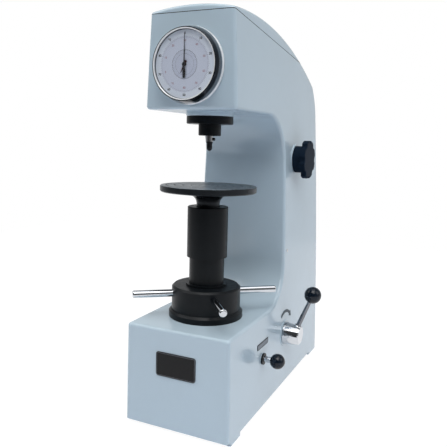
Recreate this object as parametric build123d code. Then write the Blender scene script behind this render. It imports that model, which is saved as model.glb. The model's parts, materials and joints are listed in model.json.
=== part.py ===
from build123d import *
import os
from math import asin, atan2, cos, hypot, pi, radians, sin, sqrt, tan

# Bench hardness tester of the manual dead-weight kind.
# Frame: +X is the operator's right (control side), -Y is the front (dial side), +Z is up.
# The origin is the centre of the base underside, between the feet, level with their soles.
# Heights in this file are measured from the casting's sill, which the feet hold above the bench.

os.makedirs("parts", exist_ok=True)

# ---------------------------------------------------------------- driving dimensions (mm)
# Casting, side view
base_length = 466.0
axis_setback = 97.0          # base front face to the screw and spindle axis
throat = 140.0               # axis to the column's front face
head_overhang = 67.6         # axis to the head's front face
base_top_z = 158.0
head_bottom_z = 483.0
parting_front_z = 618.5
parting_slope_deg = 6.3
cover_length = 298.6
gasket_thickness = 1.0
rear_lean_deg = 3.64
rear_top_round = 95.0
throat_round = 72.0
crown_apex_z = 633.0
crown_side_radius = 670.0
crown_offset = 10.0          # axis to the crown's highest point
crown_cross_radius = 330.0
roof_trim = 0.5              # side view's roof line above the crown, so that the crown trims it
foot_height = 6.3
foot_setback = 10.0          # front feet behind the base's front face
foot_length = 35.0
rear_foot_length = 52.0
foot_width = 30.0
# Casting, front view
floor_half_width = 89.3
top_half_width = 67.3
side_bow = 3.8               # bulge of each side beyond its chord
side_bow_height = 618.0
# Casting, sections
wall = 9.0
floor_thickness = 12.0
edge_round = 5.0
head_pad_radius = 37.2
head_pad_height = 7.0
head_pad_chamfer = 1.5
bench_hole_radius = 24.0
# Rear cover
rear_opening_half_width = 54.0
rear_opening_bottom_z = 110.0
rear_opening_top_z = 455.0
rear_cover_lap = 10.0
rear_cover_thickness = 3.0
rear_cover_corner = 3.0
rear_screw_inset = 8.0       # end screws from the opening's ends
rear_screw_radius = 2.5
rear_screw_head_radius = 4.5
rear_screw_head_height = 2.4
rear_screw_head_edge = 0.8
rear_screw_slot = 1.0
# Clearances
run_gap = 0.05               # radial, shaft in its bore
seat_gap = 0.3               # between pieces that pass each other
recess_gap = 0.5
through = 400.0              # cutter length that passes any piece
spare = 30.0                 # by which a cutting form passes the casting's sides

# Elevating screw, handwheel and table
screw_radius = 18.0
screw_bottom_z = 60.0
screw_root_chamfer = 2.0
keyway_width = 6.0
keyway_depth = 3.5
guide_radius = 30.0
guide_bottom_z = 92.0
guide_lip_radius = 38.0
guide_lip_height = 8.0
guide_key_length = 29.0
base_ring_radius = 60.0
base_ring_height = 12.0
base_ring_chamfer = 3.5
base_ring_gap = 2.0          # radial, round the screw
drum_radius = 55.6
drum_top_z = 208.7
drum_edge = 3.0
drum_step_radius = 33.0
drum_step_height = 3.0
rod_radius = 6.0
rod_z = 196.2
rod_tip_reach = 119.0
rod_seat_depth = 24.0
rod_end_round = 2.5
rod_azimuth_deg = 38.7
rod_count = 4
inner_sleeve_radius = 28.2
inner_sleeve_wall = 3.0
inner_sleeve_top_z = 282.0
outer_sleeve_radius = 32.4
outer_sleeve_wall = 3.6
outer_sleeve_bottom_z = 255.2
outer_sleeve_top_z = 336.0
outer_sleeve_cap = 5.0
outer_sleeve_edge = 1.0
table_radius = 76.5
table_top_z = 369.0
table_rim = 9.8
table_rim_chamfer = 1.5
table_edge = 1.0
table_flare_z = 352.5        # where the neck's line would meet the sloping underside
table_flare_round = 14.0
table_neck_radius = 18.4
table_spigot_radius = 12.5
table_spigot_length = 22.0
table_groove_first = 15.0
table_groove_step = 13.0
table_groove_count = 5
table_groove_width = 1.6
table_groove_depth = 0.6

# Spindle and indenter
spindle_flange_radius = 36.4
spindle_flange_height = 11.5
spindle_flange_edge = 1.0
spindle_bush_radius = 17.7
spindle_bush_bottom_z = 446.8
spindle_bush_shank_radius = 14.0
spindle_bush_top_z = 500.0
spindle_radius = 9.0
spindle_shoulder_z = 452.0
spindle_neck_radius = 7.0
measuring_gap = 1.0          # spindle to beam, the free travel for the measuring stroke
spindle_arm_height = 7.0
spindle_arm_half_width = 6.0
spindle_arm_reach = 40.0
spindle_arm_hub_radius = 12.0
holder_radius = 6.2
holder_bottom_z = 437.8
indenter_radius = 4.5
indenter_collar_radius = 5.2
indenter_collar_height = 2.5
indenter_tip_z = 423.3
indenter_cone_height = 5.2
indenter_point_radius = 1.0
indenter_nose_bulge = 1.0
indenter_shank_radius = 3.0
indenter_shank_length = 12.0
set_screw_radius = 1.6
set_screw_head_radius = 2.4
set_screw_head_length = 2.2
set_screw_z = 441.8
flange_screw_count = 3
flange_screw_circle = 27.0
flange_screw_radius = 3.0
flange_screw_length = 20.0

# Dial gauge
gauge_z = 544.0
gauge_case_radius = 45.0
gauge_case_rim_radius = 50.0
gauge_case_depth = 22.0      # behind the head's front face
gauge_movement_half = 24.0
gauge_movement_depth = 12.0
gauge_plunger_radius = 3.0
gauge_plunger_top_z = 536.0
gauge_plunger_room = 3.0     # above the plunger at rest
gauge_case_reach = 8.0       # rim in front of the head's front face
gauge_case_wall = 2.5
bezel_radius = 54.6
bezel_front_radius = 50.6
bezel_band = 3.0             # straight stretch at the bezel's back
bezel_reach = 20.8
bezel_lip_radius = 47.7
bezel_lip = 1.0
bezel_lip_chamfer = 0.6
bezel_round = 1.0
bezel_bore_radius = 48.7     # round the dial and the window
bezel_standoff = 1.0
dial_back_reach = 15.2
dial_spacer_wall = 3.5
dial_thickness = 1.2
dial_hole_gap = 1.5          # radial, round the arbor
lens_thickness = 1.2
pointer_length = 43.0
pointer_tail = 19.0
pointer_thickness = 0.4
pointer_tip_half_width = 0.25
pointer_root_half_width = 0.9
pointer_tail_half_width = 2.2
pointer_tail_end_half_width = 1.8
pointer_tail_shoulder = 8.5  # axis to the tail's widest place
pointer_standoff = 1.4       # long pointer ahead of the dial
pointer_hub_radius = 3.2
short_pointer_length = 13.0
short_pointer_angle_deg = 26.0
short_pointer_tip_half_width = 0.3
short_pointer_root_half_width = 1.4
short_pointer_hub_radius = 2.5
short_pointer_standoff = 0.6
short_pointer_tail = 4.2     # axis to the middle of the round counterweight
short_pointer_tail_radius = 2.0
arbor_radius = 1.5
arbor_cap_radius = 2.4
arbor_cap_height = 0.3
arbor_bush_radius = 5.0
arbor_bush_length = 12.0

# Load lever
lever_axis_offset = 150.0    # behind the screw axis
lever_z = 94.6
lever_splay_deg = 21.9
lever_boss_radius = 24.0
lever_boss_height = 1.0
hub_root_radius = 20.2
hub_end_radius = 17.0
hub_length = 29.5
hub_end_edge = 2.0
hub_root_edge = 1.0
hub_shaft_depth = 11.0
lever_seat_reach = 17.2      # shaft axis to the milled seat, along the rod
lever_seat_width = 16.4
lever_collar_radius = 6.6
lever_collar_height = 3.0
lever_collar_chamfer = 0.8
lever_root_x = 114.0         # the rod's line at lever_root_height above the shaft axis
lever_root_height = 20.0
lever_root_radius = 4.4
lever_foot_radius = 3.4
lever_foot_depth = 8.0
lever_tip_radius = 3.4
lever_ball_radius = 15.0
lever_ball_reach = 84.0      # shaft axis to ball centre, along the rod
lever_ball_seat = 8.2        # ball centre to the socket's floor
lever_shaft_radius = 8.0
lever_shaft_inner_x = -17.0
lift_arm_reach = 25.0
lift_arm_raise_deg = 30.0    # above level at rest, and as far below it with the load on
lift_arm_thickness = 7.0
lift_arm_half_height = 6.0
lift_roller_radius = 6.0
lift_roller_width = 18.0
lift_pin_radius = 3.0
lift_pin_overhang = 1.0
shaft_bearing_length = 18.0
shaft_bearing_radius = 15.0

# Trigger knob
trigger_offset = 38.0
trigger_z = 85.0
trigger_washer_radius = 9.5
trigger_washer_height = 3.0
trigger_boss_height = 0.4
trigger_stem_radius = 5.0
trigger_ball_radius = 12.5
trigger_ball_seat = 6.2      # ball centre to the socket's floor
trigger_travel = 8.0
trigger_travel_room = 2.2    # left between ball and washer when pressed
trigger_stop_radius = 9.0
trigger_stop_width = 6.0
trigger_bearing_length = 14.0
trigger_bearing_radius = 11.0

# Load selector
selector_offset = 200.0
selector_z = 410.0
selector_boss_radius = 27.0
selector_boss_height = 1.4
selector_collar_radius = 24.2
selector_collar_length = 15.5
selector_collar_edge = 1.0
selector_knob_radius = 34.6
selector_knob_thickness = 10.0
selector_lobes = 8
selector_notch_radius = 7.0
selector_notch_centre = 37.5
selector_knob_edge = 1.4
selector_knob_web = 3.0      # left outside the shaft's end
selector_shaft_radius = 7.0
selector_shaft_inner_x = 24.0
selector_cam_radius = 20.0
selector_cam_offset = 6.0
selector_cam_width = 10.0
selector_bearing_length = 14.0
selector_bearing_radius = 14.0

# Plates
name_plate_width = 67.5
name_plate_height = 38.0
name_plate_z = 103.0
name_plate_thickness = 1.0
name_plate_corner = 4.0
label_plate_width = 48.0
label_plate_height = 9.0
label_plate_offset = 37.0
label_plate_z = 110.5
label_plate_thickness = 0.8
label_plate_corner = 1.0
arrow_radius = 40.5
arrow_width = 5.0
arrow_start_deg = 121.0      # round the shaft axis, from the rear
arrow_end_deg = 50.0
arrow_head_half = 5.6
arrow_head_deg = 14.0
arrow_thickness = 0.6

# Load train inside the casting
beam_bottom_z = 517.0
beam_half_width = 14.5
beam_front_height = 24.0
beam_rear_height = 15.0
beam_full_length = 60.0      # full height behind the fulcrum
beam_corner = 3.0
beam_nose = 12.0             # ahead of the fulcrum pin
beam_tail = 12.0             # behind the hanger pin
beam_pin_height = 12.0       # pins above the beam's underside at the fulcrum
beam_hanger_pin_height = 7.5
fulcrum_offset = -12.0       # ahead of the spindle axis
fulcrum_ear = 8.0
fulcrum_ear_half_depth = 9.0
fulcrum_pin_radius = 4.0
hanger_offset = 243.0
hanger_pin_radius = 3.0
hanger_strap = 4.0
hanger_strap_half_depth = 7.0
hanger_drop = 26.0           # pin to the underside of the hanger's bridge
hanger_bridge = 8.0
hanger_rod_radius = 5.0
hanger_bottom_z = 196.0
hanger_plate_radius = 30.0
hanger_plate_thickness = 6.0
weight_radius = 54.0
weight_heights = (46.0, 34.0, 22.0)
weight_edge = 1.0
buffer_offset = 207.0
buffer_radius = 18.0
buffer_wall = 3.0
buffer_height = 84.0
shelf_z = 330.0
shelf_thickness = 8.0
shelf_reach = 229.0
piston_height = 10.0
piston_room = 34.0           # buffer floor to the piston's underside at rest
piston_rod_radius = 4.0
push_rod_radius = 5.0
push_rod_offset = 173.3
push_rod_foot_radius = 9.0
push_rod_foot_height = 6.0

# Small screw on the column's right side
side_screw_offset = 156.0
side_screw_z = 247.0
side_screw_radius = 3.0
side_screw_height = 0.6      # its head's height above the wall

# ---------------------------------------------------------------- derived places
front_y = -base_length / 2
rear_y = base_length / 2
axis_y = front_y + axis_setback
column_y = axis_y + throat
head_y = axis_y - head_overhang
crown_y = axis_y + crown_offset
table_neck_bottom_z = outer_sleeve_top_z
bow_half_chord = hypot(side_bow_height, floor_half_width - top_half_width) / 2
bow_radius = (bow_half_chord**2 + side_bow**2) / (2 * side_bow)


def bow_centre():
    """Centre (x, z) of the arc that each bowed side follows, for the right side."""
    mid_x = (floor_half_width + top_half_width) / 2
    mid_z = side_bow_height / 2
    run_x = top_half_width - floor_half_width
    run_z = side_bow_height
    length = hypot(run_x, run_z)
    inward_x = -run_z / length
    inward_z = run_x / length
    reach = bow_radius - side_bow
    return mid_x + inward_x * reach, mid_z + inward_z * reach


bow_x, bow_z = bow_centre()


def half_width(z, inset=0.0):
    """Half width of the casting at height z, drawn in by inset."""
    return bow_x + sqrt((bow_radius - inset) ** 2 - (z - bow_z) ** 2)


def side_plane(y, z, lift=0.0):
    """Plane on the right side's surface at (y, z): local x runs to the rear, local y up."""
    slope = asin((z - bow_z) / bow_radius)
    normal = Vector(cos(slope), 0, sin(slope))
    origin = Vector(half_width(z), y, z) + normal * lift
    return Plane(origin=origin, x_dir=(0, 1, 0), z_dir=normal)


def rear_face_y(z):
    """Y of the leaning rear face at height z."""
    return rear_y - z * tan(radians(rear_lean_deg))


def disc(radius, bottom, height, x=0.0, y=axis_y):
    """Upright cylinder that starts at the height bottom."""
    return Pos(x, y, bottom) * Cylinder(radius, height, align=(Align.CENTER, Align.CENTER, Align.MIN))


def cross_disc(radius, start_x, length, y, z):
    """Cylinder along +X from start_x."""
    base = Plane(origin=(start_x, y, z), x_dir=(0, 1, 0), z_dir=(1, 0, 0))
    return base * Cylinder(radius, length, align=(Align.CENTER, Align.CENTER, Align.MIN))


def gauge_disc(radius, start, length):
    """Cylinder on the gauge axis that starts at the reach start ahead of the head and grows forward."""
    base = Plane(origin=(0, head_y - start, gauge_z), x_dir=(1, 0, 0), z_dir=(0, -1, 0))
    return base * Cylinder(radius, length, align=(Align.CENTER, Align.CENTER, Align.MIN))


def block(x0, x1, y0, y1, z0, z1):
    """Box between two corners."""
    return Pos((x0 + x1) / 2, (y0 + y1) / 2, (z0 + z1) / 2) * Box(x1 - x0, y1 - y0, z1 - z0)


def save(name, shape):
    """Write one sub-part, as one solid or as a group of separate ones, lifted onto the feet."""
    solids = [Pos(0, 0, foot_height) * solid for solid in shape.solids()]
    body = solids[0] if len(solids) == 1 else Compound(children=list(solids))
    body.label = name
    export_step(body, f"parts/{name}.step")


# ---------------------------------------------------------------- casting
def rear_shoulder(inset):
    """Round stretch between the roof arc and the leaning rear face: centre, start and end (y, z)."""
    lean = tan(radians(rear_lean_deg))
    stretch = hypot(1, lean)
    roof_radius = crown_side_radius + roof_trim - inset
    round_radius = rear_top_round - inset
    roof_z = crown_apex_z - crown_side_radius
    floor_y = rear_y - inset * stretch
    # The centre lies on a line parallel to the rear face and on a circle about the roof's centre.
    offset = floor_y - round_radius * stretch - crown_y
    reach = roof_radius - round_radius
    a = stretch**2
    b = -2 * (lean * offset + roof_z)
    c = offset**2 + roof_z**2 - reach**2
    centre_z = (-b + sqrt(b * b - 4 * a * c)) / (2 * a)
    centre_y = crown_y + offset - lean * centre_z
    along_y = (centre_y - crown_y) / reach
    along_z = (centre_z - roof_z) / reach
    start = (crown_y + along_y * roof_radius, roof_z + along_z * roof_radius)
    end = (centre_y + round_radius / stretch, centre_z + round_radius * lean / stretch)
    return (centre_y, centre_z), start, end


def side_form(inset):
    """C-shaped side view of the casting, drawn in by inset."""
    roof_z = crown_apex_z - crown_side_radius
    roof_radius = crown_side_radius + roof_trim - inset
    floor_z = floor_thickness if inset else -foot_height
    lean = tan(radians(rear_lean_deg))
    floor_y = rear_y - inset * hypot(1, lean) - floor_z * lean
    centre, start, end = rear_shoulder(inset)
    middle = atan2((start[1] + end[1]) / 2 - centre[1], (start[0] + end[0]) / 2 - centre[0])
    round_radius = rear_top_round - inset
    bulge = (centre[0] + round_radius * cos(middle), centre[1] + round_radius * sin(middle))
    nose_y = head_y + inset
    nose_z = roof_z + sqrt(roof_radius**2 - (nose_y - crown_y) ** 2)
    straight = Polyline(
        end,
        (floor_y, floor_z),
        (front_y + inset, floor_z),
        (front_y + inset, base_top_z - inset),
        (column_y + inset, base_top_z - inset),
        (column_y + inset, head_bottom_z + inset),
        (nose_y, head_bottom_z + inset),
        (nose_y, nose_z),
    )
    roof = ThreePointArc((nose_y, nose_z), (crown_y, roof_z + roof_radius), start)
    shoulder = ThreePointArc(start, bulge, end)
    profile = make_face([straight, roof, shoulder])
    corners = profile.vertices().filter_by(lambda v: abs(v.X - column_y - inset) < 0.01)
    profile = fillet(corners, throat_round + inset)
    return extrude(Plane.YZ * profile, floor_half_width + spare, both=True)


def front_form(inset):
    """Front view of the casting with its two bowed sides."""
    low, high = -2 * foot_height, crown_apex_z + rear_top_round
    mid = (low + high) / 2
    right = ThreePointArc(
        (half_width(low, inset), low), (half_width(mid, inset), mid), (half_width(high, inset), high)
    )
    left = ThreePointArc(
        (-half_width(high, inset), high), (-half_width(mid, inset), mid), (-half_width(low, inset), low)
    )
    bridge = Line(right @ 1, left @ 0)
    sill = Line(left @ 1, right @ 0)
    profile = make_face([right, bridge, left, sill])
    return extrude(Plane.XZ * profile, base_length, both=True)


def crown_form(inset):
    """Barrel whose top is the crowned roof line."""
    centre_z = crown_apex_z - crown_side_radius
    half = floor_half_width + spare
    apex = crown_side_radius - inset
    drop = crown_cross_radius - sqrt(crown_cross_radius**2 - half**2)
    roof = ThreePointArc((-half, apex - drop), (0, apex), (half, apex - drop))
    outline = [roof, Line(roof @ 1, (half, 0)), Line((half, 0), (-half, 0)), Line((-half, 0), roof @ 0)]
    section = Plane(origin=(0, crown_y, centre_z), x_dir=(1, 0, 0), z_dir=(0, -1, 0)) * make_face(outline)
    return revolve(section, Axis((0, crown_y, centre_z), (1, 0, 0)), 360)


def casting_form(inset):
    """Whole outside of the casting and its cover, drawn in by inset."""
    return (side_form(inset) & front_form(inset) & crown_form(inset)).solid()


def cover_region(gap):
    """Space of the top cover, above the sloping joint and ahead of its square rear end, less a gap."""
    size = 2 * base_length
    slope = radians(parting_slope_deg)
    joint = Plane(origin=(0, head_y, parting_front_z), x_dir=(1, 0, 0), z_dir=(0, sin(slope), cos(slope)))
    above = joint * Pos(0, 0, gap) * Box(size, size, size, align=(Align.CENTER, Align.CENTER, Align.MIN))
    ahead = Pos(0, head_y + cover_length - gap, crown_apex_z) * Box(
        size, size, size, align=(Align.CENTER, Align.MAX, Align.CENTER))
    return above & ahead


def rear_plane(z, depth=0.0):
    """Plane on the leaning rear face at height z: local y runs up, local z outward."""
    lean = radians(rear_lean_deg)
    normal = Vector(0, cos(lean), sin(lean))
    origin = Vector(0, rear_face_y(z), z) - normal * depth
    return Plane(origin=origin, x_dir=(-1, 0, 0), z_dir=normal)


def rear_screw_places():
    """Local places of the rear cover's screws on its plane."""
    middle = (rear_opening_top_z + rear_opening_bottom_z) / 2
    half = (rear_opening_top_z - rear_opening_bottom_z) / 2
    column = rear_opening_half_width + rear_cover_lap / 2
    end = half - rear_screw_inset
    return middle, half, [(x, y) for x in (-column, column) for y in (-end, 0, end)]


right_wall_lever = half_width(lever_z)
right_wall_trigger = half_width(trigger_z)
right_wall_selector = half_width(selector_z)
lever_y = axis_y + lever_axis_offset
trigger_y = axis_y + trigger_offset
selector_y = axis_y + selector_offset
lever_seat_x = right_wall_lever + lever_boss_height
trigger_seat_x = right_wall_trigger + trigger_boss_height
selector_seat_x = right_wall_selector + selector_boss_height
trigger_ball_x = (trigger_seat_x + trigger_washer_height + trigger_travel + trigger_travel_room
                  + trigger_ball_radius)


def flange_screw_places():
    """Places of the screws that hold the spindle flange."""
    turns = [2 * pi * k / flange_screw_count + pi / 2 for k in range(flange_screw_count)]
    return [(flange_screw_circle * cos(t), axis_y + flange_screw_circle * sin(t)) for t in turns]


def foot_gaps():
    """Space under the sill that leaves the four corner feet standing."""
    front = front_y + foot_setback
    side = floor_half_width + wall
    gaps = block(-side, side, front + foot_length, rear_y - rear_foot_length, -2 * foot_height, 0)
    gaps += block(-side, side, front_y - wall, front, -2 * foot_height, 0)
    inner = floor_half_width - foot_width
    return gaps + block(-inner, inner, front_y - wall, rear_y + wall, -2 * foot_height, 0)


def make_casting():
    """Hollow casting, its crescent-shaped top cover and the gasket between them."""
    outer = casting_form(0.0)
    corner = outer.edges().filter_by(lambda e: e.center().Z > 0 and e.length > 2 * edge_round)
    outer = fillet(corner, edge_round)
    shell = outer - casting_form(wall) - foot_gaps()
    cover = shell & cover_region(gasket_thickness)
    gasket = (shell & cover_region(0)) - cover_region(gasket_thickness)
    casting = shell - cover_region(0)

    pad = disc(head_pad_radius, head_bottom_z - head_pad_height, head_pad_height + 1)
    casting += chamfer(pad.edges().group_by(Axis.Z)[0], head_pad_chamfer)
    bosses = [
        (lever_y, lever_z, lever_boss_radius, lever_seat_x, shaft_bearing_radius, shaft_bearing_length),
        (trigger_y, trigger_z, trigger_washer_radius, trigger_seat_x,
         trigger_bearing_radius, trigger_bearing_length),
        (selector_y, selector_z, selector_boss_radius, selector_seat_x,
         selector_bearing_radius, selector_bearing_length),
    ]
    for y, z, radius, seat_x, bearing_radius, bearing_length in bosses:
        casting += cross_disc(radius, half_width(z) - wall / 2, seat_x - half_width(z) + wall / 2, y, z)
        inner_x = half_width(z) - wall - bearing_length
        casting += cross_disc(bearing_radius, inner_x, bearing_length + wall / 2, y, z)

    shelf = block(
        -floor_half_width, floor_half_width,
        column_y + wall / 2, axis_y + shelf_reach,
        shelf_z - shelf_thickness, shelf_z,
    )
    casting += shelf & casting_form(wall / 2)
    floor = block(-floor_half_width, floor_half_width, front_y, rear_y, 0, floor_thickness)
    casting += floor & casting_form(wall / 2)
    return casting, cover, gasket


def cut_casting(casting):
    """Bores, openings and seats of the casting."""
    casting -= gauge_disc(gauge_case_radius + seat_gap, -2 * wall, 3 * wall)
    casting -= disc(spindle_bush_shank_radius + run_gap, head_bottom_z - 2 * wall, 4 * wall)
    casting -= disc(guide_radius + run_gap, base_top_z - 2 * wall, 3 * wall)
    casting -= disc(bench_hole_radius, -foot_height, floor_thickness + 2 * foot_height)
    casting -= cross_disc(lever_shaft_radius + run_gap, 0, 2 * wall + right_wall_lever, lever_y, lever_z)
    casting -= cross_disc(trigger_stem_radius + run_gap, 0, 2 * wall + right_wall_trigger,
                          trigger_y, trigger_z)
    casting -= cross_disc(selector_shaft_radius + run_gap, 0, 2 * wall + right_wall_selector,
                          selector_y, selector_z)
    casting -= disc(push_rod_radius + run_gap, shelf_z - 2 * shelf_thickness, 3 * shelf_thickness,
                    y=axis_y + push_rod_offset)
    for x, y in flange_screw_places():
        casting -= disc(flange_screw_radius + run_gap, head_bottom_z - 2 * wall, 4 * wall, x, y)
    middle, half, screws = rear_screw_places()
    seat = rear_plane(middle)
    recess = Box(2 * (rear_opening_half_width + rear_cover_lap + recess_gap),
                 2 * (half + rear_cover_lap + recess_gap), 2 * rear_cover_thickness)
    casting -= seat * recess
    casting -= seat * Box(2 * rear_opening_half_width, 2 * half, 6 * wall)
    for x, y in screws:
        casting -= seat * Pos(x, y, 0) * Cylinder(rear_screw_radius + run_gap, 4 * wall)
    screw_hole = side_plane(axis_y + side_screw_offset, side_screw_z, -wall / 2)
    casting -= screw_hole * Cylinder(side_screw_radius + run_gap, wall,
                                     align=(Align.CENTER, Align.CENTER, Align.MIN))
    return casting


def make_rear_cover():
    """Flush plate over the rear opening and its screws."""
    middle, half, screws = rear_screw_places()
    seat = rear_plane(middle, rear_cover_thickness)
    width = 2 * (rear_opening_half_width + rear_cover_lap)
    height = 2 * (half + rear_cover_lap)
    sheet = Box(width, height, rear_cover_thickness, align=(Align.CENTER, Align.CENTER, Align.MIN))
    sheet = fillet(sheet.edges().filter_by(Axis.Z), rear_cover_corner)
    bolts = []
    for x, y in screws:
        sheet -= Pos(x, y, 0) * Cylinder(rear_screw_radius + seat_gap, 4 * wall)
        shank = Pos(x, y, -wall / 2) * Cylinder(
            rear_screw_radius, wall / 2 + rear_cover_thickness, align=(Align.CENTER, Align.CENTER, Align.MIN))
        head = Pos(x, y, rear_cover_thickness) * Cylinder(
            rear_screw_head_radius, rear_screw_head_height, align=(Align.CENTER, Align.CENTER, Align.MIN))
        head = chamfer(head.edges().group_by(Axis.Z)[-1], rear_screw_head_edge)
        slot = Pos(x, y, rear_cover_thickness + rear_screw_head_height) * Box(
            2 * rear_screw_head_radius, rear_screw_slot, rear_screw_head_height)
        bolts.append(seat * (shank + head - slot))
    return seat * sheet, Compound(children=bolts)


# ---------------------------------------------------------------- elevating screw, handwheel, table
def make_guide():
    """Guide bush under the base top, with the key that stops the screw turning."""
    plate_under = base_top_z - wall
    bush = disc(guide_radius, guide_bottom_z, base_top_z - guide_bottom_z)
    bush += disc(guide_lip_radius, plate_under - guide_lip_height, guide_lip_height)
    bush -= disc(screw_radius + run_gap, guide_bottom_z - 1, base_top_z)
    slot = block(-keyway_width / 2, keyway_width / 2, axis_y + screw_radius - keyway_depth,
                 axis_y + screw_radius + keyway_depth, guide_bottom_z - 1,
                 guide_bottom_z + guide_key_length + 1)
    key = block(-keyway_width / 2 + run_gap, keyway_width / 2 - run_gap,
                axis_y + screw_radius - keyway_depth + seat_gap,
                axis_y + screw_radius + keyway_depth - run_gap,
                guide_bottom_z, guide_bottom_z + guide_key_length)
    return bush - slot, key


def make_screw():
    """Elevating screw with its keyway and the socket for the table's spigot."""
    screw = disc(screw_radius, screw_bottom_z, table_neck_bottom_z - screw_bottom_z)
    screw = chamfer(screw.edges().group_by(Axis.Z)[0], screw_root_chamfer)
    screw -= block(-keyway_width / 2, keyway_width / 2, axis_y + screw_radius - keyway_depth,
                   axis_y + 2 * screw_radius, screw_bottom_z - 1, outer_sleeve_bottom_z)
    socket_bottom = table_neck_bottom_z - table_spigot_length - 1
    screw -= disc(table_spigot_radius + run_gap, socket_bottom, table_spigot_length + 2)
    return screw


def make_table():
    """Round test table, turned from one piece, with its spigot."""
    rim_z = table_top_z - table_rim
    outline = Polyline(
        (0, table_neck_bottom_z - table_spigot_length),
        (table_spigot_radius, table_neck_bottom_z - table_spigot_length),
        (table_spigot_radius, table_neck_bottom_z),
        (table_neck_radius, table_neck_bottom_z),
        (table_neck_radius, table_flare_z),
        (table_radius - table_rim_chamfer, rim_z),
        (table_radius, rim_z + table_rim_chamfer),
        (table_radius, table_top_z - table_edge),
        (table_radius - table_edge, table_top_z),
        (0, table_top_z),
        close=True,
    )
    face = make_face(outline)
    root = face.vertices().sort_by_distance((table_neck_radius, table_flare_z, 0))[0]
    face = fillet(root, table_flare_round)
    body = revolve(Plane(origin=(0, axis_y, 0), x_dir=(1, 0, 0), z_dir=(0, -1, 0)) * face,
                   Axis((0, axis_y, 0), (0, 0, 1)), 360)
    for index in range(table_groove_count):
        radius = table_groove_first + index * table_groove_step
        outside = disc(radius + table_groove_width / 2, table_top_z - table_groove_depth, 2)
        inside = disc(radius - table_groove_width / 2, table_top_z - table_groove_depth - 1, 4)
        body -= outside - inside
    return body


def make_outer_sleeve():
    """Protective sleeve that hangs from the top of the screw."""
    height = outer_sleeve_top_z - outer_sleeve_bottom_z
    sleeve = disc(outer_sleeve_radius, outer_sleeve_bottom_z, height)
    sleeve = chamfer(sleeve.edges().group_by(Axis.Z)[-1], outer_sleeve_edge)
    sleeve -= disc(outer_sleeve_radius - outer_sleeve_wall, outer_sleeve_bottom_z - 1,
                   height - outer_sleeve_cap + 1)
    return sleeve - disc(screw_radius + run_gap, outer_sleeve_bottom_z, height + 1)


def make_inner_sleeve():
    """Lower sleeve that stands on the handwheel."""
    bottom = drum_top_z + drum_step_height
    tube = disc(inner_sleeve_radius, bottom, inner_sleeve_top_z - bottom)
    return tube - disc(inner_sleeve_radius - inner_sleeve_wall, bottom - 1, inner_sleeve_top_z)


def make_base_ring():
    """Ring under the handwheel that carries its thrust."""
    ring = disc(base_ring_radius, base_top_z, base_ring_height)
    ring = chamfer(ring.edges().group_by(Axis.Z)[-1], base_ring_chamfer)
    return ring - disc(screw_radius + base_ring_gap, base_top_z - 1, base_ring_height + 2)


def rod_direction(index):
    """Unit vector of one handwheel rod."""
    turn = radians(rod_azimuth_deg + index * 360 / rod_count)
    return Vector(sin(turn), -cos(turn), 0)


def rod_solid(radius, start, end, index, end_round):
    """Cylinder along one rod's line between two reaches."""
    direction = rod_direction(index)
    base = Plane(origin=Vector(0, axis_y, rod_z) + direction * start, z_dir=direction)
    rod = Cylinder(radius, end - start, align=(Align.CENTER, Align.CENTER, Align.MIN))
    if end_round:
        rod = fillet(rod.edges().group_by(Axis.Z)[-1], end_round)
    return base * rod


def make_handwheel():
    """Drum nut with its four rods."""
    bottom = base_top_z + base_ring_height + seat_gap
    drum = disc(drum_radius, bottom, drum_top_z - bottom)
    drum = chamfer(drum.edges().group_by(Axis.Z)[-1], drum_edge)
    drum += disc(drum_step_radius, drum_top_z, drum_step_height)
    drum -= disc(screw_radius + run_gap, bottom - 1, drum_top_z)
    rods = []
    for index in range(rod_count):
        drum -= rod_solid(rod_radius + run_gap, drum_radius - rod_seat_depth, rod_tip_reach, index, 0)
        rods.append(rod_solid(rod_radius, drum_radius - rod_seat_depth + run_gap, rod_tip_reach, index,
                              rod_end_round))
    return drum, Compound(children=rods)


# ---------------------------------------------------------------- spindle
def make_spindle_flange():
    """Flange and bush under the head, with the screws that hold them."""
    top = head_bottom_z - head_pad_height
    flange = disc(spindle_flange_radius, top - spindle_flange_height, spindle_flange_height)
    flange = chamfer(flange.edges().group_by(Axis.Z)[0], spindle_flange_edge)
    flange -= disc(spindle_bush_shank_radius + run_gap, top - 2 * spindle_flange_height,
                   3 * spindle_flange_height)
    screws = []
    for x, y in flange_screw_places():
        flange -= disc(flange_screw_radius + run_gap, top - 2 * spindle_flange_height,
                       3 * spindle_flange_height, x, y)
        screws.append(disc(flange_screw_radius, top - spindle_flange_height, flange_screw_length, x, y))
    return flange, Compound(children=screws)


def make_spindle_bush():
    """Bush that guides the spindle."""
    shoulder = head_bottom_z - head_pad_height - spindle_flange_height
    bush = disc(spindle_bush_radius, spindle_bush_bottom_z, shoulder - spindle_bush_bottom_z)
    bush = chamfer(bush.edges().group_by(Axis.Z)[0], spindle_flange_edge)
    bush += disc(spindle_bush_shank_radius, shoulder, spindle_bush_top_z - shoulder)
    return bush - disc(spindle_radius + run_gap, spindle_bush_bottom_z - 1, spindle_bush_top_z)


def make_spindle():
    """Spindle with its indenter holder."""
    arm_z = spindle_bush_top_z + 2 * seat_gap
    spindle = disc(holder_radius, holder_bottom_z, spindle_shoulder_z - holder_bottom_z)
    spindle += disc(spindle_radius, spindle_shoulder_z, arm_z - spindle_shoulder_z)
    spindle += disc(spindle_neck_radius, arm_z, beam_bottom_z - measuring_gap - arm_z)
    spindle -= disc(indenter_shank_radius + run_gap, holder_bottom_z - 1,
                    indenter_shank_length + 1 + recess_gap)
    screw_line = cross_disc(set_screw_radius + run_gap, 0, 2 * holder_radius, axis_y, set_screw_z)
    return spindle - screw_line


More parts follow.
